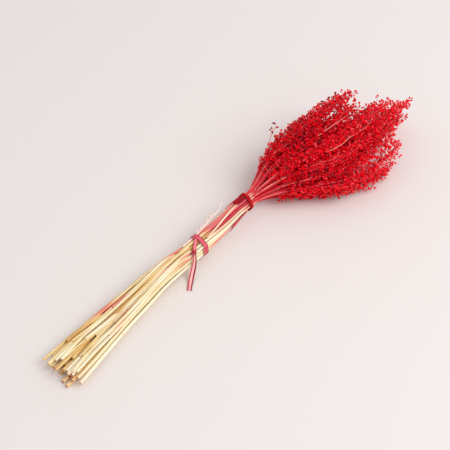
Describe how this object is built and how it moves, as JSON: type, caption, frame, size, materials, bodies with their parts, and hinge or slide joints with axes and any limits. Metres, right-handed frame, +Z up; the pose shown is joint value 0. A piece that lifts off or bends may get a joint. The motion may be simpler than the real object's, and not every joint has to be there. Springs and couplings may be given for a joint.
{
  "type": "dried millet bunch",
  "caption": "Tied bunch of dried millet lying on its side: bare straw stalks cut off at one end, dyed seed heads fanned out at the other, twine at the neck and a raffia tie with a loose end.",
  "frame": {"origin": "on the table, under the middle of the bunch's box, without the loose end of the lower tie", "axes": "+X along the bunch from the cut ends to the tips of the heads, +Z up from the table"},
  "size_m": [0.5224, 0.1118, 0.0721],
  "materials": {
    "straw": "dry straw, satin",
    "dyed_head": "dyed dry grain, matt with a slight sheen",
    "twine": "dyed twine, matt",
    "raffia": "dyed raffia strip, satin",
    "bare_shoot": "pale dry stalk, matt",
    "dyed_sheath": "dyed dry leaf, papery"
  },
  "bodies": {
    "root": {"straw_01": "straw", "straw_02": "straw", "straw_03": "straw", "straw_04": "straw", "straw_05": "straw", "straw_06": "straw", "straw_07": "straw", "straw_08": "straw", "straw_09": "straw", "straw_10": "straw", "straw_11": "straw", "straw_12": "straw", "straw_13": "straw", "straw_14": "straw", "straw_15": "straw", "straw_16": "straw", "straw_17": "straw", "straw_18": "straw", "straw_19": "straw", "straw_20": "straw", "straw_21": "straw", "straw_22": "straw", "straw_23": "straw", "straw_24": "straw", "head_01": "dyed_head", "head_02": "dyed_head", "head_03": "dyed_head", "head_04": "dyed_head", "head_05": "dyed_head", "head_06": "dyed_head", "head_07": "dyed_head", "head_08": "dyed_head", "head_09": "dyed_head", "head_10": "dyed_head", "head_11": "dyed_head", "head_12": "dyed_head", "head_13": "dyed_head", "head_14": "dyed_head", "head_15": "dyed_head", "head_16": "dyed_head", "head_17": "dyed_head", "head_18": "dyed_head", "head_19": "dyed_head", "head_20": "dyed_head", "head_21": "dyed_head", "head_22": "dyed_head", "head_23": "dyed_head", "head_24": "dyed_head", "neck_tie": "twine", "lower_tie": "raffia", "tie_tail": "raffia", "bare_shoot": "bare_shoot", "sheath_left": "dyed_sheath", "sheath_right": "dyed_sheath"}
  },
  "joints": []
}
